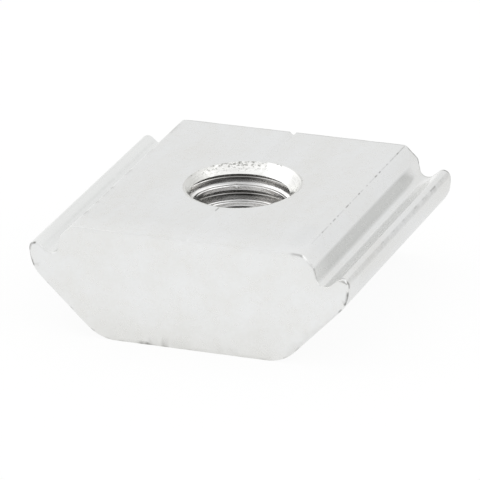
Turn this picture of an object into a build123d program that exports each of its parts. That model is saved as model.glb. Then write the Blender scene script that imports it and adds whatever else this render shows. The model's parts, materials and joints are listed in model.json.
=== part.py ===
from build123d import *
from math import radians, tan
import os

# T slot nut: one block of drawn bar, cut to length, drilled and tapped, then zinc plated.
# +X runs across the slot, +Y along it and +Z out through its mouth, in mm.
# The origin is the middle of the flat underside.

# Whole block
width = 23.6  # over the two wings
length = 20.0  # from one cut end to the other
height = 8.25  # underside to clamping face

# Underside and slopes
slope_angle = 45.0  # lean of each slope from the underside
base_radius = 3.0  # round from the underside into each slope
shoulder_radius = 2.6  # round from each slope into the wing's upright side
side_height = 1.7  # wing's side, from the slope's sharp corner to the lip's crest

# Wings: a lip along each side, and the groove between it and the block
groove_depth = 2.22  # clamping face down to the groove's floor
groove_width = 0.72  # groove's floor between its sharp corners
lip_rise = 0.67  # lip's crest above the groove's floor
lip_radius = 0.5
lip_angle = 40.0  # lean of the lip's inner side from the floor
lip_toe_radius = 0.6

# Raised block between the grooves
block_draft = 9.5  # lean of its sides
block_chamfer = 0.89
block_root_radius = 0.55
block_edge_radius = 0.35

# Scored centre line that guides the drill
score_width = 0.5
score_depth = 0.1

# Metric coarse thread, right-hand, kept as a plain hole at its inner diameter
thread_diameter = 8.0
thread_pitch = 1.25
lead_in_clear = 0.2  # how far each lead-in opens past the thread's outer diameter

# Heights
groove_z = height - groove_depth
crest_z = groove_z + lip_rise
corner_z = crest_z - side_height

# Half widths, from the wing's side inwards
side_x = width / 2
base_x = side_x - corner_z / tan(radians(slope_angle))
nose_x = side_x - lip_radius
nose_z = crest_z - lip_radius

# The nose is tangent to the lip's inner side, which runs down to the groove's floor
nose_reach = lip_radius * tan(radians(lip_angle / 2))
toe_x = nose_x - nose_reach - lip_rise / tan(radians(lip_angle))
foot_x = toe_x - groove_width
block_z = height - block_chamfer
block_x = foot_x - (block_z - groove_z) * tan(radians(block_draft))

# Thread
hole_radius = (thread_diameter - 1.0825 * thread_pitch) / 2
lead_in = thread_diameter / 2 + lead_in_clear - hole_radius

# Rounds that share a short wall with another are held to what the wall can carry
shoulder_limit = (side_height - lip_radius) / tan(radians(slope_angle / 2))
shoulder_round = min(shoulder_radius, shoulder_limit)

toe_turn = tan(radians(lip_angle / 2))
root_turn = tan(radians((90 - block_draft) / 2))
toe_round = min(lip_toe_radius, groove_width / 2 / toe_turn)
root_round = min(block_root_radius, (groove_width - toe_round * toe_turn) / root_turn)

with BuildPart() as slot_nut:
    with BuildSketch(Plane.XZ):
        with BuildLine():
            under = FilletPolyline(
                (0, 0),
                (base_x, 0),
                (side_x, corner_z),
                (side_x, nose_z),
                radius=[base_radius, shoulder_round],
            )
            nose = CenterArc((nose_x, nose_z), lip_radius, 0, 90 + lip_angle)
            over = FilletPolyline(
                nose @ 1,
                (toe_x, groove_z),
                (foot_x, groove_z),
                (block_x, block_z),
                (block_x - block_chamfer, height),
                (0, height),
                radius=[toe_round, root_round, block_edge_radius, block_edge_radius],
            )
            Line(over @ 1, under @ 0)
        make_face()
        mirror(about=Plane.YZ)
    extrude(amount=length / 2, both=True)

    # Tapped hole through the middle, with a lead-in at both mouths
    Hole(hole_radius)
    mouths = slot_nut.edges(Select.LAST).filter_by(GeomType.CIRCLE)
    chamfer(mouths, lead_in)

    # Score along the clamping face, from end to end
    with BuildSketch(Plane.XZ):
        with BuildLine():
            Polyline(
                (-score_width / 2, height),
                (0, height - score_depth),
                (score_width / 2, height),
                close=True,
            )
        make_face()
    extrude(amount=length / 2, both=True, mode=Mode.SUBTRACT)

slot_nut.part.label = "slot_nut"
os.makedirs("parts", exist_ok=True)
export_step(slot_nut.part, "parts/slot_nut.step")
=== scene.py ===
import json
import math

import bmesh
import bpy
import numpy as np
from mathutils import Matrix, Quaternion, Vector, geometry, noise

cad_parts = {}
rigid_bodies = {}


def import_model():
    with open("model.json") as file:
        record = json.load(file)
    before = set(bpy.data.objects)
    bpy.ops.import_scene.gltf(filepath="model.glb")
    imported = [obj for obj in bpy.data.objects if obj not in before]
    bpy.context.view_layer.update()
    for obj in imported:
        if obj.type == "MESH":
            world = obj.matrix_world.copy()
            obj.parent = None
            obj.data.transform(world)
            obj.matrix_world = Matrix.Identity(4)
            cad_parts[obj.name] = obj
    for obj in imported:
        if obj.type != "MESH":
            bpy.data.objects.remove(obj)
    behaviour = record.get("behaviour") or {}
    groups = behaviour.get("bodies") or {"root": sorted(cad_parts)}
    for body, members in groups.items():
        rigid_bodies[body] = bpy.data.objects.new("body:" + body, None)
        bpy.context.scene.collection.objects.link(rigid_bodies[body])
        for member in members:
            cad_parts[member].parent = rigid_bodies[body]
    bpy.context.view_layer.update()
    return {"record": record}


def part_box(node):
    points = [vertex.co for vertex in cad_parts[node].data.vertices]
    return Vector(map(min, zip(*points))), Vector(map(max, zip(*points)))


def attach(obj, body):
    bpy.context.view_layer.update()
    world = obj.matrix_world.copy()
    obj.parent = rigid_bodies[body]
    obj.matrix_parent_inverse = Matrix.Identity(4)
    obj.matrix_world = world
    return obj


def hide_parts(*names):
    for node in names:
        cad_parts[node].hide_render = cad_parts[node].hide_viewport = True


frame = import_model()
print("frame loaded")

mm = 0.001
nodeLow, nodeHigh = (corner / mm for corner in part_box("slot_nut"))  # the nut's box, mm
nutWidth, nutLength, nutHeight = nodeHigh - nodeLow
threadMount = next(m for m in frame["record"]["mounts"] if m["name"] == "thread")


def wave(x, y=0.0, z=0.0):
    # smooth noise, scaled to between about -1 and 1
    return noise.noise(Vector((x, y, z))) * 1.6


def bump(distance, reach):
    # 1 at the middle, 0 from reach on, soft at both ends
    t = min(abs(distance) / reach, 1.0)
    return (1 - t * t) ** 2


def newObject(name, points, faces, material=None):
    mesh = bpy.data.meshes.new(name)
    mesh.from_pydata([Vector(p) * mm for p in points], [], faces)
    mesh.validate()
    obj = bpy.data.objects.new(name, mesh)
    bpy.context.scene.collection.objects.link(obj)
    if material:
        mesh.materials.append(material)
    return obj


def hexToLinear(text):
    # sRGB hex to linear RGBA
    parts = [int(text[i:i + 2], 16) / 255 for i in (1, 3, 5)]
    return (*(c / 12.92 if c <= 0.04045 else ((c + 0.055) / 1.055) ** 2.4 for c in parts), 1.0)


def addNode(tree, kind, settings=None, links=None):
    # settings go to the node's inputs by name or number, or to the node itself
    node = tree.nodes.new(kind)
    for name, value in (settings or {}).items():
        if isinstance(name, int) or name in node.inputs:
            node.inputs[name].default_value = value
        else:
            setattr(node, name, value)
    for name, source in (links or {}).items():
        tree.links.new(source, node.inputs[name])
    return node


def newMaterial(name):
    material = bpy.data.materials.new(name)
    material.use_nodes = True
    material.node_tree.nodes.clear()
    return material, material.node_tree


def finishMetal(tree, settings, links, height, relief):
    # a metal with a fine relief, given as its strength and its depth in mm
    strength, depth = relief
    fine = addNode(tree, "ShaderNodeBump", {"Strength": strength, "Distance": depth * mm},
                   {"Height": height})
    shader = addNode(tree, "ShaderNodeBsdfPrincipled", {"Metallic": 1.0, **settings},
                     {**links, "Normal": fine.outputs["Normal"]})
    addNode(tree, "ShaderNodeOutputMaterial", links={"Surface": shader.outputs["BSDF"]})


# Satin zinc plate: electroplated steel, so it is pale, soft and faintly clouded

zinc = {
    # tones: the pale and the grey of the clouds; spans: an axis, and where along it, in mm, the tones
    # begin and are whole
    "sides": {
        "drawn": {"tones": ("#E1E2E2", "#DDDDDB"), "spans": []},
        "rubbedLip": {  # painted light: the left lip and groove painted paler than the plate
            "tones": ("#E5E6E5", "#E5E6E5"),
            "spans": [("Z", 5.6, 5.9), ("X", -9.5, -9.7)]},
        "polishedLip": {  # painted light: the right lip's inner side painted near white, lighter than the plate
            "tones": ("#FFFFFE", "#FFFFFE"),
            "spans": [("Z", 5.6, 5.9), ("X", 9.85, 10.3), ("X", 11.3, 10.95), ("Y", 10.0, 8.4)]},
        "dullWall": {  # painted shade: the right side of the block painted darker than the plate
            "tones": ("#C6C7C6", "#C6C7C6"),
            "spans": [("Z", 5.6, 5.9), ("X", 9.3, 9.4), ("X", 9.7, 9.55), ("Y", 8.8, 6.6)]},
    },
    "ends": {
        # painted light: the ends painted paler than the sides, for the light that falls on them
        "sheared": {"tones": ("#EDEEEE", "#E9E9E7"), "spans": []},
        "foot": {  # painted shade: the ends darker towards the bottom, across their middle
            "tones": ("#E7E7E5", "#E2E2DF"),
            "spans": [("Z", 3.4, 0.0), ("X", 9.0, 6.0), ("X", -9.0, -6.0)]},
    },
    "clamped": ("Y", -7.5, -13.5),  # painted light: the sides blend towards the ends' painted pale tones near the front end
    "endSkin": (0.05, 0.01),  # mm in from an end, where its own face takes over
    "mark": "#5A5854",  # dark steel and chromate in the knocks along the edges, and painted shade
    "cloud": 2.4,  # mm
    "streak": 3.0,  # how much longer the clouds are along the bar
    "mottle": 0.45,  # mm, grain inside the clouds
    "mottleShare": 0.35,
    "cloudEdge": (0.36, 0.62),  # noise values of the grey and of the pale
    "grain": 0.12,  # mm, fine pitting under the plate
    "relief": (0.04, 0.02),  # strength, and depth in mm
    "roughness": (0.24, 0.33),
}


def shareOf(tree, spans, join):
    # 0 to 1 along each span, joined into one share
    place = addNode(tree, "ShaderNodeTexCoord").outputs["Object"]
    xyz = addNode(tree, "ShaderNodeSeparateXYZ", links={"Vector": place})
    share = None
    for axis, none, full in spans:
        ramp = addNode(tree, "ShaderNodeMapRange", {"From Min": none * mm, "From Max": full * mm},
                       {"Value": xyz.outputs[axis]}).outputs["Result"]
        if share is not None:
            ramp = addNode(tree, "ShaderNodeMath", {"operation": join}, {0: share, 1: ramp}).outputs[0]
        share = ramp
    return share


def layered(tree, shade, layers):
    # clouded tones laid over the first one, each where its spans say
    colour = None
    for layer in layers.values():
        pale, grey = (hexToLinear(text) for text in layer["tones"])
        clouded = addNode(tree, "ShaderNodeMix", {"data_type": "RGBA", 6: grey, 7: pale}, {0: shade})
        if colour is not None:
            share = shareOf(tree, layer["spans"], "MULTIPLY")
            clouded = addNode(tree, "ShaderNodeMix", {"data_type": "RGBA"},
                              {0: share, 6: colour, 7: clouded.outputs[2]})
        colour = clouded.outputs[2]
    return colour


def zincPlate():
    material, tree = newMaterial("satin_zinc_plate")
    place = addNode(tree, "ShaderNodeTexCoord").outputs["Object"]
    drawn = addNode(tree, "ShaderNodeVectorMath",
                    {"operation": "MULTIPLY", 1: (1.0, 1 / zinc["streak"], 1.0)}, {0: place})
    cloud = addNode(tree, "ShaderNodeTexNoise",
                    {"Scale": 1 / (zinc["cloud"] * mm), "Detail": 3.0, "Roughness": 0.55},
                    {"Vector": drawn.outputs[0]})
    mottle = addNode(tree, "ShaderNodeTexNoise",
                     {"Scale": 1 / (zinc["mottle"] * mm), "Detail": 2.0}, {"Vector": place})
    both = addNode(tree, "ShaderNodeMix", {"data_type": "FLOAT", "Factor": zinc["mottleShare"]},
                   {"A": cloud.outputs["Fac"], "B": mottle.outputs["Fac"]})
    grey, pale = zinc["cloudEdge"]
    shade = addNode(tree, "ShaderNodeMapRange", {"From Min": grey, "From Max": pale},
                    {"Value": both.outputs["Result"]}).outputs["Result"]
    outer, inner = (nutLength / 2 - skin for skin in zinc["endSkin"])
    skins = [("Y", end * outer, end * inner) for end in (-1, 1)]
    whiter = shareOf(tree, [zinc["clamped"], *skins], "MAXIMUM")
    colour = addNode(tree, "ShaderNodeMix", {"data_type": "RGBA"},
                     {0: whiter, 6: layered(tree, shade, zinc["sides"]),
                      7: layered(tree, shade, zinc["ends"])})
    knocks = addNode(tree, "ShaderNodeAttribute", {"attribute_name": "knocks"})
    marked = addNode(tree, "ShaderNodeMix", {"data_type": "RGBA", 7: hexToLinear(zinc["mark"])},
                     {0: knocks.outputs["Fac"], 6: colour.outputs[2]})
    smooth, rough = zinc["roughness"]
    roughness = addNode(tree, "ShaderNodeMapRange", {"To Min": smooth, "To Max": rough},
                        {"Value": mottle.outputs["Fac"]})
    grain = addNode(tree, "ShaderNodeTexNoise",
                    {"Scale": 1 / (zinc["grain"] * mm), "Detail": 2.0}, {"Vector": place})
    finishMetal(tree, {}, {"Base Color": marked.outputs[2], "Roughness": roughness.outputs["Result"]},
                grain.outputs["Fac"], zinc["relief"])
    return material


def aroundHole(tree):
    # where a point lies: its vector, its height and its angle round the hole from +X
    place = addNode(tree, "ShaderNodeTexCoord").outputs["Object"]
    xyz = addNode(tree, "ShaderNodeSeparateXYZ", links={"Vector": place})
    angle = addNode(tree, "ShaderNodeMath", {"operation": "ARCTAN2"},
                    {0: xyz.outputs["Y"], 1: xyz.outputs["X"]})
    return place, xyz.outputs["Z"], angle.outputs[0]


def awayFrom(tree, angle, middle):
    # how far round the hole a point lies from the middle of a patch
    offset = addNode(tree, "ShaderNodeMath", {"operation": "SUBTRACT", 1: middle}, {0: angle})
    return addNode(tree, "ShaderNodeMath", {"operation": "ABSOLUTE"}, {0: offset.outputs[0]}).outputs[0]


def unrolledNoise(tree, first, second, settings):
    # noise over the hole's wall laid flat; first and second are each a socket and what multiplies it
    axes = [addNode(tree, "ShaderNodeMath", {"operation": "MULTIPLY", 1: factor}, {0: source}).outputs[0]
            for source, factor in (first, second)]
    flat = addNode(tree, "ShaderNodeCombineXYZ", links={"X": axes[0], "Y": axes[1]})
    noisy = addNode(tree, "ShaderNodeTexNoise", {"Scale": 1.0, "Detail": 3.0, **settings},
                    {"Vector": flat.outputs["Vector"]})
    return noisy.outputs["Fac"]


# Turned steel under bright plate: shiny, painted lighter round the back of the hole where the light falls,
# and torn where the countersink skipped

leadIn = {  # the countersinks at both faces: 1 is the clamping face and -1 the underside
    "radius": {1: 4.06, -1: 4.2},  # mm, at the face
    "narrowing": {1: 0.925, -1: 1.0},  # mm of radius for each mm of depth
    "offset": {1: (0.09, 0.16), -1: (0.0, 0.0)},  # a tool that ran a little off the hole's axis
    "rim": {1: 4.18, -1: 4.22},  # the rim was broken by hand too, much flatter
    "rimOffset": {1: (0.12, 0.08), -1: (0.0, 0.0)},
    "rimNarrowing": 4.0,
    "chatter": 0.03,
    "chatterAt": 115.0,  # degrees round, where the tool skipped most
    "chatterReach": 0.9,  # radians
    "chatterLeast": 0.2,  # share of it that runs all the way round
    "chatterGrain": (17, 5),  # how fine it is round the hole and down it
    "depths": (-0.3, -0.1, 0.0, 0.03, 0.06, 0.09, 0.12, 0.2, 0.3, 0.4, 0.5, 0.6, 0.7, 0.8, 1.0, 1.3),
    "tones": {-180: "#D4D4D1", 0: "#D6D6D3", 25: "#D3D3D0", 45: "#E5E5E3", 65: "#FAFAF9", 84: "#FCFCFB",
              87: "#FAFAF8", 130: "#F7F7F5", 155: "#EBEBE8", 175: "#D5D5D2"},  # painted light: by degrees round from +X, lightest round the back of the hole
    "marks": 2.2,  # turning marks for each radian round
    "rings": 0.11,  # mm between turning marks
    "markEdge": (0.35, 0.55),  # noise values of a dull and of a clear mark
    "worn": 0.88,  # share of light that the dull ones keep
    "torn": "#8A8A85",
    "tear": (0.24, 0.1),  # mm, size of the torn spots round and across
    "tearAt": 2.0,  # radians round from +X, where most of them are
    "tearReach": 1.25,
    "tearDepth": (0.66, 0.1),  # mm under the clamping face, from none to most
    "tearShare": 0.18,
    "tearEdge": (0.62, 0.78),  # noise values of whole and of torn metal
    "relief": (0.3, 0.01),  # strength, and depth in mm
    "roughness": 0.2,
}


def turnedSteel():
    material, tree = newMaterial("turned_steel")
    place, height, angle = aroundHole(tree)
    marks = unrolledNoise(tree, (angle, leadIn["marks"]), (height, 1 / (leadIn["rings"] * mm)), {})
    dull, clear = leadIn["markEdge"]
    shade = addNode(tree, "ShaderNodeMapRange",
                    {"From Min": dull, "From Max": clear, "To Min": leadIn["worn"], "To Max": 1.0},
                    {"Value": marks})
    turn = addNode(tree, "ShaderNodeMapRange", {"From Min": -math.pi, "From Max": math.pi},
                   {"Value": angle})
    tone = addNode(tree, "ShaderNodeValToRGB", links={"Fac": turn.outputs["Result"]})
    stops = tone.color_ramp.elements
    for degrees, text in leadIn["tones"].items():
        stop = stops[0] if degrees == -180 else stops.new(degrees / 360 + 0.5)
        stop.color = hexToLinear(text)
    stops.remove(stops[-1])
    colour = addNode(tree, "ShaderNodeVectorMath", {"operation": "SCALE"},
                     {"Vector": tone.outputs["Color"], "Scale": shade.outputs["Result"]})
    near = addNode(tree, "ShaderNodeMapRange", {"From Min": leadIn["tearReach"], "From Max": 0.0},
                   {"Value": awayFrom(tree, angle, leadIn["tearAt"])})
    none, most = ((nutHeight - depth) * mm for depth in leadIn["tearDepth"])
    high = addNode(tree, "ShaderNodeMapRange", {"From Min": none, "From Max": most}, {"Value": height})
    along, across = leadIn["tear"]
    spots = unrolledNoise(tree, (angle, leadIn["radius"][1] / along), (height, 1 / (across * mm)),
                          {"Roughness": 0.7})
    share = addNode(tree, "ShaderNodeMath", {"operation": "MULTIPLY"},
                    {0: high.outputs["Result"], 1: near.outputs["Result"]})
    lifted = addNode(tree, "ShaderNodeMath", {"operation": "MULTIPLY_ADD", 1: leadIn["tearShare"]},
                     {0: share.outputs[0], 2: spots})
    whole, torn = leadIn["tearEdge"]
    where = addNode(tree, "ShaderNodeMapRange", {"From Min": whole, "From Max": torn},
                    {"Value": lifted.outputs[0]})
    finish = addNode(tree, "ShaderNodeMix", {"data_type": "RGBA", 7: hexToLinear(leadIn["torn"])},
                     {0: where.outputs["Result"], 6: colour.outputs[0]})
    finishMetal(tree, {"Roughness": leadIn["roughness"]}, {"Base Color": finish.outputs[2]},
                marks, leadIn["relief"])
    return material


# Cut thread steel: shiny crests, flanks torn by the tap, painted shade in the roots, dark with oil and
# painted shade on the far side, and painted light further round

thread = {
    "pitch": 1.25,
    "outerRadius": 4.0,
    "innerRadius": threadMount["dims"]["r_mm"],
    "sides": 144,
    "crestAngle": 200.0,  # degrees round from +X, where a crest would meet the clamping face
    "crestWidth": 0.45,  # flat, because the drilled hole was wide
    "crestRound": 0.12,  # upper corner of the crest, which the tap pushed over
    "crestUnder": 0.05,  # the crest's lower corner
    "seamDepth": 0.035,  # the fold that the tap left in the crest
    "seamDrop": 0.06,  # how far below the round
    "seamSides": (0.05, 0.03),  # how far it reaches down and up
    "step": 0.079,  # a second cut's step on the upper flank
    "stepFrom": (0.125, 0.11),  # below the root's corner, where the step starts and is whole
    "stepTo": 0.05,
    "ragged": 0.012,  # how unevenly the tap cut
    "raggedGrain": 5,
    "raggedReach": 0.3,  # from the inner radius out
    "chip": {"at": 118.0, "height": 6.73, "reach": (0.1, 0.32), "depth": 0.1,  # torn out of one crest
             "least": 0.4, "grain": (14, 7)},
    "oily": ("#8C8B89", "#D6D6D6"),  # roots and crests on the far side: dark with the tap's oil, and painted shade
    "wiped": ("#E6E5E3", "#FAF9F8"),  # and further round: painted light
    "oilAt": 2.12,  # radians round from +X, the middle of the dark part
    "oilReach": ((0.3, 0.8), (0.25, 0.7)),  # from all of it to none, in the roots and on the crests
    "streaks": (1.4, 14.0),  # tap marks for each radian round and for each pitch across
    "streakEdge": (0.3, 0.7),  # noise values of the darkest and of the lightest
    "streakShade": 0.35,
    "relief": (0.3, 0.01),  # strength, and depth in mm
    "roughness": 0.19,
}


def cutThreadSteel():
    material, tree = newMaterial("cut_thread_steel")
    place, height, angle = aroundHole(tree)
    turns = addNode(tree, "ShaderNodeMath", {"operation": "DIVIDE", 1: 2 * math.pi}, {0: angle})
    pitches = addNode(tree, "ShaderNodeMath", {"operation": "DIVIDE", 1: thread["pitch"] * mm},
                      {0: height})
    up = addNode(tree, "ShaderNodeMath", {"operation": "SUBTRACT"},
                 {0: pitches.outputs[0], 1: turns.outputs[0]})
    around, across = thread["streaks"]
    streaks = unrolledNoise(tree, (angle, around), (up.outputs[0], across), {})
    flat = addNode(tree, "ShaderNodeVectorMath", {"operation": "MULTIPLY", 1: (1.0, 1.0, 0.0)},
                   {0: place})
    radius = addNode(tree, "ShaderNodeVectorMath", {"operation": "LENGTH"}, {0: flat.outputs[0]})
    # painted shade: darker towards the roots, where shade falls, and lighter towards the crests
    crestward = addNode(tree, "ShaderNodeMapRange",
                    {"From Min": thread["outerRadius"] * mm, "From Max": thread["innerRadius"] * mm},
                    {"Value": radius.outputs["Value"]})
    dark, light = thread["streakEdge"]
    streaky = addNode(tree, "ShaderNodeMapRange",
                      {"From Min": dark, "From Max": light, "To Min": -thread["streakShade"],
                       "To Max": thread["streakShade"]}, {"Value": streaks})
    shade = addNode(tree, "ShaderNodeMath", {"operation": "ADD", "use_clamp": True},
                    {0: crestward.outputs["Result"], 1: streaky.outputs["Result"]})
    # painted light: lighter further round the hole from its dark part
    away = awayFrom(tree, angle, thread["oilAt"])
    finishes = []
    for oily, wiped, (near, far) in zip(thread["oily"], thread["wiped"], thread["oilReach"]):
        share = addNode(tree, "ShaderNodeMapRange", {"From Min": near, "From Max": far}, {"Value": away})
        finish = addNode(tree, "ShaderNodeMix",
                         {"data_type": "RGBA", 6: hexToLinear(oily), 7: hexToLinear(wiped)},
                         {0: share.outputs["Result"]})
        finishes.append(finish.outputs[2])
    colour = addNode(tree, "ShaderNodeMix", {"data_type": "RGBA"},
                     {0: shade.outputs[0], 6: finishes[0], 7: finishes[1]})
    finishMetal(tree, {"Roughness": thread["roughness"]}, {"Base Color": colour.outputs[2]},
                streaks, thread["relief"])
    return material


plate, leadInSteel, threadSteel = zincPlate(), turnedSteel(), cutThreadSteel()
print("materials made")


# The nut's drawn section is swept along Y, with both ends cut as on the real bar

nut = {  # mm and degrees
    "slopeAngle": 45.0,
    "baseRound": 3.0,
    "shoulderRound": {1: 2.3, -1: 2.8},  # right and left
    "sideHeight": 1.7,
    "grooveDepth": 2.22,
    "grooveWidth": 0.72,
    "lipRise": 0.67,
    "lipRound": 0.5,
    "lipAngle": 40.0,
    "lipToeRound": 0.6,
    "blockDraft": 9.5,
    "blockChamfer": 0.89,
    "blockRootRound": 0.55,
    "blockEdgeRound": 0.35,
    "scoreWidth": 0.5,
    "scoreDepth": 0.2,  # at the back end, where its cutter dug in
    "scoreCorners": [  # share of its width, share of its depth and round
        (0.4, 0, 0.04), (0.22, 1, 0.04), (-0.16, 1, 0.05), (-0.6, 0, 0.09)],
    "scoreReach": 1.2,  # times its depth, how far down a point still belongs to it
    "scoreDig": 1.1,  # how far in from the back end
    "scoreCrease": 0.06,  # depth over the rest
    "scoreFade": (-6.0, 12.0, 0.3),  # place along Y and length of its fading, and what is left of it
    "flatStep": 0.24,
    "flatLeast": 6,  # steps on a short flat
    "roundStep": 0.05,
    "roundTurn": 12,  # degrees, the most that a step turns
    "rowStep": 0.16,
    "endZone": 0.7,  # the part of each end that has its own finer rows
    "endRows": 8,
    "endRound": 0.055,
    "endSteps": 5,
    "endUneven": 0.35,  # share by which that round varies
    "endGrain": 0.9,
    "rollOver": {  # where the shear dragged an end's edge down: x, z, reach, drop and run along Y
        -1: [(8.7, 8.1, 1.3, 0.14, 0.3), (-11.8, 6.0, 1.8, 0.16, 0.3), (0.0, 8.25, 9.0, 0.1, 0.45),
             (11.7, 5.6, 1.0, 0.12, 0.2)],
        1: [(-8.7, 8.1, 1.0, 0.08, 0.25), (11.8, 6.0, 1.2, 0.06, 0.2)]},
    "burr": {"at": (11.47, 6.67), "reach": 0.32, "height": 0.12, "run": 0.5},  # thrown up on the right lip
    "capRing": 0.1,  # a ring of points just inside each end's edge, so that marks stay narrow
    "capGap": 0.15,  # between that ring and the grid inside it
    "capStep": 0.5,
    "capFirst": 0.6,  # steps from the underside up to the grid's first row
    "dent": 0.012,  # how unevenly the shear left the ends
    "dentGrain": 0.5,
    "sharpFrom": 27,  # degrees between faces
}


def halfSection(side):
    # one half's sharp corners, from the underside up: x, z and round
    sideX = nutWidth / 2
    grooveZ = nutHeight - nut["grooveDepth"]
    crestZ = grooveZ + nut["lipRise"]
    cornerZ = crestZ - nut["sideHeight"]
    baseX = sideX - cornerZ / math.tan(math.radians(nut["slopeAngle"]))
    lean = math.radians(nut["lipAngle"])
    toeX = (sideX - nut["lipRound"] * (1 + math.tan(lean / 2))
            - nut["lipRise"] / math.tan(lean))
    tipZ = grooveZ + (sideX - toeX) * math.tan(lean)
    footX = toeX - nut["grooveWidth"]
    blockZ = nutHeight - nut["blockChamfer"]
    blockX = footX - (blockZ - grooveZ) * math.tan(math.radians(nut["blockDraft"]))
    corners = [
        (baseX, 0, nut["baseRound"]),
        (sideX, cornerZ, nut["shoulderRound"][side]),
        (sideX, tipZ, nut["lipRound"]),
        (toeX, grooveZ, nut["lipToeRound"]),
        (footX, grooveZ, nut["blockRootRound"]),
        (blockX, blockZ, nut["blockEdgeRound"]),
        (blockX - nut["blockChamfer"], nutHeight, nut["blockEdgeRound"]),
    ]
    return [(side * x, z, r) for x, z, r in corners][::side]


def roundedOutline(corners):
    # points and outward normals round a closed section, anticlockwise, with its corners rounded
    arcs = []
    for before, here, after in zip(corners[-1:] + corners[:-1], corners, corners[1:] + corners[:1]):
        corner, r = Vector(here[:2]), here[2]
        back, ahead = (Vector(p[:2]) - corner for p in (before, after))
        half = back.angle(ahead) / 2
        sign = 1 if back.cross(ahead) < 0 else -1
        centre = corner + (back.normalized() + ahead.normalized()).normalized() * r / math.sin(half)
        outward = (corner - centre).normalized() * sign
        sweep = math.pi - 2 * half
        count = max(2, math.ceil(sweep * r / nut["roundStep"]),
                    math.ceil(sweep / math.radians(nut["roundTurn"])))
        arc = []
        for i in range(count + 1):
            turn = sweep * (i / count - 0.5) * sign
            c, s = math.cos(turn), math.sin(turn)
            normal = Vector((outward.x * c - outward.y * s, outward.x * s + outward.y * c))
            arc.append((centre + normal * r * sign, normal))
        arcs.append(arc)
    outline = []
    for arc, following in zip(arcs, arcs[1:] + arcs[:1]):
        outline += arc
        start, end = arc[-1][0], following[0][0]
        count = max(nut["flatLeast"], math.ceil((end - start).length / nut["flatStep"]))
        outline += [(start.lerp(end, i / count), arc[-1][1]) for i in range(1, count)]
    return outline


score = [(nut["scoreWidth"] * x, nutHeight - nut["scoreDepth"] * z, r) for x, z, r in nut["scoreCorners"]]
outline = roundedOutline(halfSection(1) + score + halfSection(-1))
print("section:", len(outline), "points")


def endShape(end, point):
    # how far an end's edge is rounded inwards, and how far along Y
    uneven = wave(point.x * nut["endGrain"], point.y * nut["endGrain"], end)
    drop = nut["endRound"] * (1 + nut["endUneven"] * uneven)
    run = drop
    for x, z, reach, most, length in nut["rollOver"][end]:
        near = bump((point - Vector((x, z))).length, reach)
        drop = max(drop, most * near)
        run = max(run, length * near)
    return drop, run


def scoreDepth(y):
    # share of the full depth: a notch at the back end, then a crease that fades to the front
    start, run, least = nut["scoreFade"]
    grown = max(0.0, min(1.0, (y - start) / run))
    crease = nut["scoreCrease"] / nut["scoreDepth"] * (least + (1 - least) * grown)
    return crease + (1 - crease) * bump(nutLength / 2 - y, nut["scoreDig"])


def onSection(point, normal, inset, y):
    burr = nut["burr"]
    near = bump((point - Vector(burr["at"])).length, burr["reach"])
    inset -= burr["height"] * near * bump(y + nutLength / 2, burr["run"])
    if abs(point.x) > nut["scoreWidth"] or point.y < nutHeight - nut["scoreDepth"] * nut["scoreReach"]:
        x, z = point - normal * inset
        return x, y, z
    return point.x, y, nutHeight - (nutHeight - point.y) * scoreDepth(y) - inset  # in the score


def sectionRings():
    # the section's points at each place along Y, from the front end to the back
    endY = nutLength / 2
    shapes = {end: [endShape(end, p) for p, _ in outline] for end in (-1, 1)}

    def endLoop(end, step):
        angle = math.radians(90 * step / nut["endSteps"])
        made = []
        for (p, n), (drop, run) in zip(outline, shapes[end]):
            y = end * (endY - run * (1 - math.sin(angle)))
            made.append(onSection(p, n, drop * (1 - math.cos(angle)), y))
        return made

    def zoneLoop(end, share):
        made = []
        for (p, n), (_, run) in zip(outline, shapes[end]):
            y = end * (endY - run - (nut["endZone"] - run) * share)
            made.append(onSection(p, n, 0.0, y))
        return made

    rings = [endLoop(-1, i) for i in range(nut["endSteps"], -1, -1)]
    rings += [zoneLoop(-1, i / nut["endRows"]) for i in range(1, nut["endRows"])]
    middle = nutLength - 2 * nut["endZone"]
    rows = round(middle / nut["rowStep"])
    for i in range(rows + 1):
        y = -middle / 2 + middle * i / rows
        rings.append([onSection(p, n, 0.0, y) for p, n in outline])
    rings += [zoneLoop(1, i / nut["endRows"]) for i in range(nut["endRows"] - 1, 0, -1)]
    rings += [endLoop(1, i) for i in range(nut["endSteps"] + 1)]
    return rings


def capPoints(edge):
    # points inside an end: a ring along its edge and a grid of triangles inside that
    inner = [e - n * nut["capRing"] for e, (_, n) in zip(edge, outline)]
    step = nut["capStep"]
    for row in range(int(nutHeight / step)):
        for column in range(int(nutWidth / step) + 1):
            shift = 0.5 * (row % 2)
            spot = Vector((-nutWidth / 2 + (column + shift) * step, (row + nut["capFirst"]) * step))
            if min((spot - e).length for e in edge) > nut["capRing"] + nut["capGap"]:
                inner.append(spot)
    return inner


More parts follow.
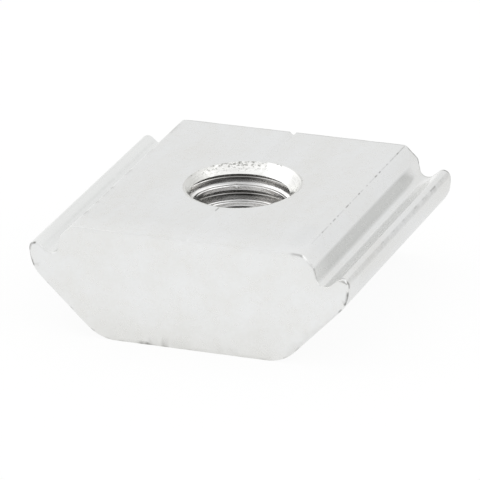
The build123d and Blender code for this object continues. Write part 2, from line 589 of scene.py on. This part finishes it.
def nutBody():
    rings = sectionRings()
    count = len(outline)
    points = [p for ring in rings for p in ring]
    faces = []
    for r in range(len(rings) - 1):
        a, b = r * count, (r + 1) * count
        for i in range(count):
            j = (i + 1) % count
            faces.append((a + i, b + i, b + j, a + j))
    for end, first in ((-1, 0), (1, (len(rings) - 1) * count)):
        edge = [Vector((x, z)) for x, _, z in points[first:first + count]]
        flat, _, triangles, origin, _, _ = geometry.delaunay_2d_cdt(
            edge + capPoints(edge), [(i, (i + 1) % count) for i in range(count)],
            [list(range(count))], 1, 1e-7)
        index = {}
        for i, sources in enumerate(origin):
            known = [s for s in sources if s < count]
            if known:
                index[i] = first + known[0]
            else:
                index[i] = len(points)
                spot = flat[i]
                uneven = wave(spot.x * nut["dentGrain"], spot.y * nut["dentGrain"], end * 3)
                dent = nut["dent"] * max(0.0, 1 + uneven) / 2
                points.append((spot.x, end * (nutLength / 2 - dent), spot.y))
        for tri in triangles:
            ids = [index[i] for i in tri]
            a, b, c = (Vector((points[i][0], points[i][2])) for i in ids)
            facesFront = (b - a).cross(c - a) > 0  # anticlockwise seen from -Y
            faces.append(ids if facesFront == (end < 0) else ids[::-1])
    return points, faces


body = newObject("nut", *nutBody(), plate)
print("body:", len(body.data.vertices), "vertices")


# The tap and the countersinks that cut the hole

def revolved(rings, low, high):
    # closes a stack of rings with a point on the axis at each end
    count = len(rings[0])
    points = [p for ring in rings for p in ring] + [(0, 0, low), (0, 0, high)]
    faces = []
    for r in range(len(rings) - 1):
        a, b = r * count, (r + 1) * count
        faces += [(a + i, a + (i + 1) % count, b + (i + 1) % count, b + i) for i in range(count)]
    last = (len(rings) - 1) * count
    faces += [(len(points) - 2, (i + 1) % count, i) for i in range(count)]
    faces += [(len(points) - 1, last + i, last + (i + 1) % count) for i in range(count)]
    return points, faces


def threadProfile():
    # one pitch of the cutter, as height above a crest's middle and radius: M8 flanks at 60 degrees
    inner, outer = thread["innerRadius"], thread["outerRadius"]
    lean = math.tan(math.radians(30))
    half, rise = thread["crestWidth"] / 2, (outer - inner) * lean
    big, small = thread["crestRound"], thread["crestUnder"]
    flatTop = half - big * lean
    seam = flatTop - thread["seamDrop"]
    down, up = thread["seamSides"]
    profile = [(seam - down, inner), (seam, inner + thread["seamDepth"]), (seam + up, inner)]
    for angle in range(0, 61, 12):
        a = math.radians(angle)
        profile.append((flatTop + big * math.sin(a), inner + big * (1 - math.cos(a))))
    root = half + rise
    start, whole = thread["stepFrom"]
    for back, extra in ((start, 0), (whole, thread["step"]), (thread["stepTo"], 0), (0, 0)):
        profile.append((root - back, outer - back * math.sqrt(3) + extra))
    profile.append((thread["pitch"] - root, outer))
    crest = thread["pitch"] - half
    for angle in (60, 30, 0):
        a = math.radians(angle)
        profile.append((crest + small * (lean - math.sin(a)), inner + small * (1 - math.cos(a))))
    return profile


def raggedness(angle, radius, z):
    # how far the tap strayed from its profile, with a chip torn out of one crest
    chip = thread["chip"]
    strayed = wave(angle * thread["raggedGrain"], z, radius)
    torn = thread["ragged"] * strayed * bump(radius - thread["innerRadius"], thread["raggedReach"])
    away = math.remainder(angle - math.radians(chip["at"]), 2 * math.pi)
    near = bump(away, chip["reach"][0]) * bump(z - chip["height"], chip["reach"][1])
    around, across = chip["grain"]
    return torn + chip["depth"] * near * (chip["least"] + wave(angle * around, z * across, 3.0))


def tapCutter():
    # right-hand helix: each strip is one turn of the thread's profile, crest to crest
    pitch, sides = thread["pitch"], thread["sides"]
    profile = threadProfile()
    turns = math.ceil(nutHeight / pitch) + 2
    start = math.radians(thread["crestAngle"])
    points = []
    for k in range((turns + 1) * sides + 1):
        angle = start + 2 * math.pi * k / sides
        base = nutHeight + pitch * (k / sides - turns)
        for s, r in profile:
            r += raggedness(angle, r, base + s)
            points.append((r * math.cos(angle), r * math.sin(angle), base + s))
    size = len(profile)
    faces = []
    for k in range(turns * sides):
        for i in range(size):
            a, b = k * size + i, (k + 1) * size + i
            if i < size - 1:
                faces.append((a, b, b + 1, a + 1))
            else:  # a strip's top is the start of the strip one turn above
                up = sides * size - (size - 1)
                faces.append((a, b, b + up, a + up))
    # the open turn at each end closes on the axis
    lowest = [k * size for k in range(sides + 1)][::-1] + list(range(1, size))
    highest = [k * size for k in range(turns * sides, (turns + 1) * sides + 1)]
    highest += [turns * sides * size + i for i in range(size - 1, 0, -1)]
    low, high = len(points), len(points) + 1
    points += [(0, 0, points[0][2] - pitch), (0, 0, nutHeight + 3 * pitch)]
    for rim, tip in ((lowest, low), (highest, high)):
        faces += [(tip, a, b) for a, b in zip(rim, rim[1:] + rim[:1])]
    used = sorted({i for f in faces for i in f})
    remap = {old: new for new, old in enumerate(used)}
    return [points[i] for i in used], [tuple(remap[i] for i in f) for f in faces]


def countersink(face):
    top = nutHeight if face > 0 else 0
    offsetX, offsetY = leadIn["offset"][face]
    rimX, rimY = leadIn["rimOffset"][face]
    least = leadIn["chatterLeast"]
    around, down = leadIn["chatterGrain"]
    rings = []
    for depth in leadIn["depths"]:
        ring = []
        for k in range(thread["sides"] * 2):
            angle = math.pi * k / thread["sides"]
            c, s = math.cos(angle), math.sin(angle)
            skipped = bump(angle - math.radians(leadIn["chatterAt"]), leadIn["chatterReach"])
            skips = least + (1 - least) * skipped
            chatter = leadIn["chatter"] * skips * wave(c * around, s * around, depth * down)
            bored = leadIn["radius"][face] + offsetX * c + offsetY * s
            bored += chatter - depth * leadIn["narrowing"][face]
            rim = leadIn["rim"][face] + rimX * c + rimY * s - depth * leadIn["rimNarrowing"]
            r = max(bored, rim)
            ring.append((r * c, r * s, top - face * depth))
        rings.append(ring)
    rings = rings[::-face]
    over = 0.2  # mm that the cutter's points reach past its rings
    return revolved(rings, rings[0][0][2] - over, rings[-1][0][2] + over)


cutters = [newObject("tap", *tapCutter(), threadSteel),
           newObject("topCountersink", *countersink(1), leadInSteel),
           newObject("bottomCountersink", *countersink(-1), leadInSteel)]
for cutter in cutters:
    build = bmesh.new()
    build.from_mesh(cutter.data)
    bmesh.ops.recalc_face_normals(build, faces=build.faces)
    build.to_mesh(cutter.data)
    build.free()
    cut = body.modifiers.new(cutter.name, "BOOLEAN")
    cut.object, cut.operation, cut.solver = cutter, "DIFFERENCE", "EXACT"
    cut.material_mode = "TRANSFER"
bpy.context.view_layer.update()
cutMesh = bpy.data.meshes.new_from_object(body.evaluated_get(bpy.context.evaluated_depsgraph_get()))
body.modifiers.clear()
body.data = cutMesh
cutMesh.name = "nut"
for cutter in cutters:
    bpy.data.objects.remove(cutter)
cutMesh.shade_smooth()
cutMesh.set_sharp_from_angle(angle=math.radians(nut["sharpFrom"]))
print("hole cut:", len(cutMesh.polygons), "faces,", [m.name for m in cutMesh.materials])

check = bmesh.new()
check.from_mesh(cutMesh)
print("open edges:", sum(not e.is_manifold for e in check.edges),
      "triangles:", sum(len(f.verts) - 2 for f in check.faces))
check.free()


# Knocks and painted shade: dark steel showing where the tumbled parts hit each other's edges, and painted
# shade in crevices, creases and along some edges and faces

edgeKnocksAndShade = {  # place across the section, half width and spans along Y with their strength
    "blockRight": ((8.47, 8.24), 0.06, [
        (9.8, 8.6, 0.45), (8.5, 8.3, 0.9), (8.2, 6.9, 0.4), (6.5, 6.2, 0.6), (5.9, 5.2, 0.3),
        (5.0, 4.8, 0.8), (4.3, 3.9, 0.9), (3.8, 2.8, 0.25), (2.5, 2.3, 0.7), (1.7, 1.2, 0.35),
        (1.0, 0.7, 0.9), (0.5, -0.4, 0.25), (-0.7, -0.9, 0.6), (-1.1, -1.6, 0.8),
        (-2.0, -2.8, 0.25), (-3.0, -3.2, 0.6), (-3.7, -4.1, 0.95), (-4.4, -4.6, 0.7), (-5.0, -5.8, 0.3),
        (-5.9, -6.1, 0.7), (-6.4, -8.0, 0.15)]),
    "blockLeft": ((-8.44, 8.24), 0.12, [
        (9.0, 7.4, 0.3), (4.2, 3.2, 0.15), (0.3, -0.6, 0.3), (-2.85, -3.15, 0.6), (-3.6, -4.6, 0.2),
        (-5.5, -5.8, 0.5), (-7.3, -7.9, 0.3)]),
    # broad faint darkenings: near the top's right edge at the front, and painted shade over the whole right
    # chamfer
    "topRight": ((7.5, 8.25), 0.8, [(-5.6, -8.4, 0.05)]),
    "chamferRight": ((9.0, 7.7), 0.7, [(10.0, -10.0, 0.03)]),
    "lipRight": ((11.7, 6.47), 0.24, [
        (10.0, -9.6, 0.2), (8.9, 7.6, 0.12), (7.2, 6.3, 0.3), (5.6, 4.6, 0.24), (3.9, 2.7, 0.26),
        (2.0, 0.4, 0.24), (-0.3, -1.3, 0.24), (-2.3, -3.5, 0.24), (-4.0, -4.8, 0.2)]),
    # painted shade in the crease along the left lip's foot
    "lipLeftFoot": ((-10.77, 6.4), 0.11, [
        (9.8, 3.0, 0.08), (2.5, -3.0, 0.1), (-3.2, -6.2, 0.09), (-6.4, -9.8, 0.05)]),
    "lipLeftTop": ((-11.35, 6.72), 0.2, [(9.9, -6.0, 0.05)]),
    "score": ((0.05, 8.21), 0.1, [(-4.2, -4.6, 0.7)]),
    "lipRightLine": ((11.62, 6.57), 0.08, [
        (9.5, -9.3, 0.22), (9.2, 7.9, 0.3), (7.2, 6.3, 0.6), (5.8, 5.5, 0.35), (5.0, 4.7, 0.4),
        (3.6, 3.1, 0.45), (1.2, 0.8, 0.4), (-0.7, -1.1, 0.4), (-2.8, -3.2, 0.45), (-4.2, -4.4, 0.35)]),
}
endKnocksAndShade = {  # by place along Y: half width, strength and the run of points across the section
    -10.0: [
        # painted shade: a faint darkening along the front end's top edge, which dims its highlight
        (0.12, 0.07, [(-8.4, 8.2), (7.7, 8.2)]),
        (0.13, 0.5, [(7.74, 8.2), (8.3, 8.18), (8.7, 8.05)]),
        (0.13, 0.45, [(8.7, 8.05), (9.1, 7.65)]),
        (0.13, 0.55, [(9.1, 7.65), (9.35, 7.4), (9.43, 7.15)]),
        (0.12, 0.5, [(9.43, 7.15), (9.55, 6.6), (9.75, 6.2)]),
        (0.1, 0.1, [(-11.3, 6.65), (-10.9, 6.45), (-10.5, 6.15), (-10.1, 6.05)]),
        (0.14, 1.0, [(-11.3, 6.7), (-11.6, 6.6), (-11.75, 6.3), (-11.8, 5.95), (-11.7, 5.4), (-11.5, 5.0)]),
        (0.06, 0.8, [(-10.6, 3.8), (-10.5, 3.72)]),
        (0.06, 0.35, [(-9.6, 2.87), (-9.5, 2.8)]),
        (0.06, 0.35, [(-8.8, 2.05), (-8.7, 2.0)]),
        # along the front end's bottom edge and its right slope's edge: faint darkenings, and darker dashes
        # along the bottom edge
        (0.13, 0.1, [(-6.2, 0.1), (6.0, 0.08)]),
        (0.1, 0.12, [(7.0, 0.4), (11.0, 4.3)]),
        (0.09, 0.3, [(-7.35, 0.65), (-7.2, 0.55)]),
        (0.09, 0.3, [(-6.4, 0.1), (-6.1, 0.07)]),
        (0.08, 0.35, [(-5.3, 0.06), (-5.0, 0.06)]),
        (0.14, 1.0, [(-3.8, 0.08), (-3.1, 0.08)]),
        (0.12, 0.55, [(-3.1, 0.08), (-2.8, 0.08)]),
        (0.12, 0.6, [(-2.1, 0.08), (-1.65, 0.08)]),
        (0.08, 0.25, [(-0.9, 0.06), (-0.65, 0.06)]),
        (0.08, 0.25, [(-0.25, 0.06), (-0.1, 0.06)]),
        (0.08, 0.25, [(3.7, 0.06), (3.9, 0.06)]),
        (0.08, 0.4, [(5.3, 0.05), (5.5, 0.06)]),
        (0.09, 0.5, [(6.9, 0.3), (7.1, 0.42)]),
        (0.09, 0.4, [(7.85, 1.05), (8.05, 1.25)]),
        # painted shade: the dark sliver down the right lip's front corner, where its edge rolls over
        (0.12, 0.9, [(11.5, 4.95), (11.68, 5.35), (11.76, 5.8)]),
        (0.07, 0.6, [(11.05, 4.32), (11.25, 4.5)]),
    ],
    # painted shadow: the dark curve and the crevice behind the burr on the right lip's front end
    -9.97: [
        (0.07, 0.7, [(11.15, 6.62), (11.45, 6.6), (11.72, 6.45)]),
    ],
    -9.82: [
        (0.17, 1.0, [(11.68, 6.5), (11.8, 6.2)]),
    ],
    9.92: [
        (0.12, 0.95, [(8.2, 8.22), (8.7, 8.0), (9.3, 7.4), (9.45, 7.0)]),
        (0.12, 0.5, [(9.5, 6.7), (9.8, 6.1), (10.2, 6.02), (10.7, 6.35), (11.3, 6.7)]),
        (0.12, 0.95, [(11.3, 6.7), (11.6, 6.6), (11.78, 6.2), (11.8, 5.9)]),
        (0.09, 0.3, [(-8.6, 8.1), (-8.3, 8.25), (-7.6, 8.25)]),
        (0.09, 0.35, [(-7.6, 8.25), (8.2, 8.25)]),
    ],
}
knockAndShadeLook = {"middle": 0.75, "spread": 0.35, "grain": 4}  # how unevenly they show


def nearness(spots, path, reach):
    # 1 on the path and 0 from reach on, for many spots at once
    best = np.full(len(spots), np.inf)
    for a, b in zip(path, path[1:]):
        a, b = np.array(a), np.array(b)
        t = np.clip((spots - a) @ (b - a) / ((b - a) @ (b - a)), 0, 1)
        best = np.minimum(best, np.linalg.norm(spots - a - t[:, None] * (b - a), axis=1))
    return np.clip(1 - (best / reach) ** 2, 0, 1)


def knockAndShadeValues(spots):
    grain = knockAndShadeLook["grain"]
    uneven = np.array([knockAndShadeLook["middle"] + knockAndShadeLook["spread"] * wave(x * grain, y * grain, z * grain)
                       for x, y, z in spots])
    paths = [([(x, start, z), (x, stop, z)], reach, strength)
             for (x, z), reach, spans in edgeKnocksAndShade.values() for start, stop, strength in spans]
    paths += [([(x, y, z) for x, z in run], reach, strength)
              for y, runs in endKnocksAndShade.items() for reach, strength, run in runs]
    values = np.zeros(len(spots))
    for path, reach, strength in paths:
        values = np.maximum(values, nearness(spots, path, reach) * strength * uneven)
    return values


places = np.empty(len(cutMesh.vertices) * 3)
cutMesh.vertices.foreach_get("co", places)
knocks = cutMesh.attributes.new("knocks", "FLOAT", "POINT")
knocks.data.foreach_set("value", knockAndShadeValues(places.reshape(-1, 3) / mm))
print("knocks placed")

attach(body, "root")
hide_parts("slot_nut")


# Floor, light and camera

floorLook = {"colour": "#FAFAF9", "size": 3.0, "plain": 0.9}  # plain is the share that is flat white


def backgroundRay(tree):
    # 1 for the rays that show the background: straight, mirrored or through glass
    path = addNode(tree, "ShaderNodeLightPath")
    glossy = addNode(tree, "ShaderNodeMath", {"operation": "MAXIMUM"},
                     {0: path.outputs["Is Camera Ray"], 1: path.outputs["Is Glossy Ray"]})
    return addNode(tree, "ShaderNodeMath", {"operation": "MAXIMUM"},
                   {0: glossy.outputs[0], 1: path.outputs["Is Transmission Ray"]}).outputs[0]


def makeFloor():
    half = floorLook["size"] / 2 / mm
    low = nodeLow.z
    floor = newObject("floor", [(-half, -half, low), (half, -half, low), (half, half, low),
                                (-half, half, low)], [(0, 1, 2, 3)])
    material, tree = newMaterial("matte_white_table")
    matte = addNode(tree, "ShaderNodeBsdfDiffuse", {"Color": hexToLinear(floorLook["colour"])})
    white = addNode(tree, "ShaderNodeEmission", {"Color": (1, 1, 1, 1), "Strength": 1.0})
    share = addNode(tree, "ShaderNodeMath", {"operation": "MULTIPLY", 1: floorLook["plain"]},
                    {0: backgroundRay(tree)})
    surface = addNode(tree, "ShaderNodeMixShader",
                      links={0: share.outputs[0], 1: matte.outputs[0], 2: white.outputs[0]})
    clear = addNode(tree, "ShaderNodeBsdfTransparent")
    below = addNode(tree, "ShaderNodeNewGeometry").outputs["Backfacing"]
    seen = addNode(tree, "ShaderNodeMixShader",  # clear from below, so that the underside can be seen
                   links={0: below, 1: surface.outputs[0], 2: clear.outputs[0]})
    addNode(tree, "ShaderNodeOutputMaterial", links={"Surface": seen.outputs[0]})
    floor.data.materials.append(material)


studio = {
    "world": 1.0,
    "lamps": {  # degrees it stands round and up, metres away and across, watts
        "left": {"azimuth": -118, "elevation": 20, "distance": 0.55, "size": 0.4, "power": 0.13},
        "upper": {"azimuth": -85, "elevation": 45, "distance": 0.6, "size": 0.45, "power": 0.25},
        "right": {"azimuth": 85, "elevation": 20, "distance": 0.6, "size": 0.6, "power": 0.8},
    },
}


def direction(azimuth, elevation):
    # azimuth 0 is in front, at -Y, and turns towards +X
    a, e = math.radians(azimuth), math.radians(elevation)
    return Vector((math.sin(a) * math.cos(e), -math.cos(a) * math.cos(e), math.sin(e)))


def makeLights():
    world = bpy.data.worlds.new("studio")
    world.use_nodes = True
    tree = world.node_tree
    tree.nodes.clear()
    light = addNode(tree, "ShaderNodeBackground", {"Color": (1, 1, 1, 1), "Strength": studio["world"]})
    white = addNode(tree, "ShaderNodeBackground", {"Color": (1, 1, 1, 1), "Strength": 1.0})
    mixed = addNode(tree, "ShaderNodeMixShader",
                    links={0: backgroundRay(tree), 1: light.outputs[0], 2: white.outputs[0]})
    addNode(tree, "ShaderNodeOutputWorld", links={"Surface": mixed.outputs[0]})
    bpy.context.scene.world = world
    middle = Vector((0, 0, nutHeight / 2)) * mm
    for name, lamp in studio["lamps"].items():
        data = bpy.data.lights.new(name, "AREA")
        data.size, data.energy = lamp["size"], lamp["power"]
        obj = bpy.data.objects.new(name, data)
        towards = direction(lamp["azimuth"], lamp["elevation"])
        obj.location = middle + towards * lamp["distance"]
        obj.rotation_euler = towards.to_track_quat("Z", "Y").to_euler()
        bpy.context.scene.collection.objects.link(obj)


view = {  # degrees and mm, and metres for the clip
    "azimuth": 23.245, "elevation": 23.454, "roll": 2.629, "distance": 380.69, "lens": 409.94,
    "sensor": 36.0, "clip": (0.01, 10.0), "aim": (-0.215, -0.065, 4.07)}


def makeCamera():
    data = bpy.data.cameras.new("camera")
    data.lens, data.sensor_width = view["lens"], view["sensor"]
    data.clip_start, data.clip_end = view["clip"]
    camera = bpy.data.objects.new("camera", data)
    back = direction(view["azimuth"], view["elevation"])
    camera.location = (Vector(view["aim"]) + back * view["distance"]) * mm
    level = (-back).to_track_quat("-Z", "Y")
    roll = Quaternion((0, 0, 1), -math.radians(view["roll"]))
    camera.rotation_euler = (level @ roll).to_euler()
    bpy.context.scene.collection.objects.link(camera)
    bpy.context.scene.camera = camera


makeFloor()
makeLights()
makeCamera()
bpy.context.scene.view_settings.view_transform = "Standard"
print("studio ready")
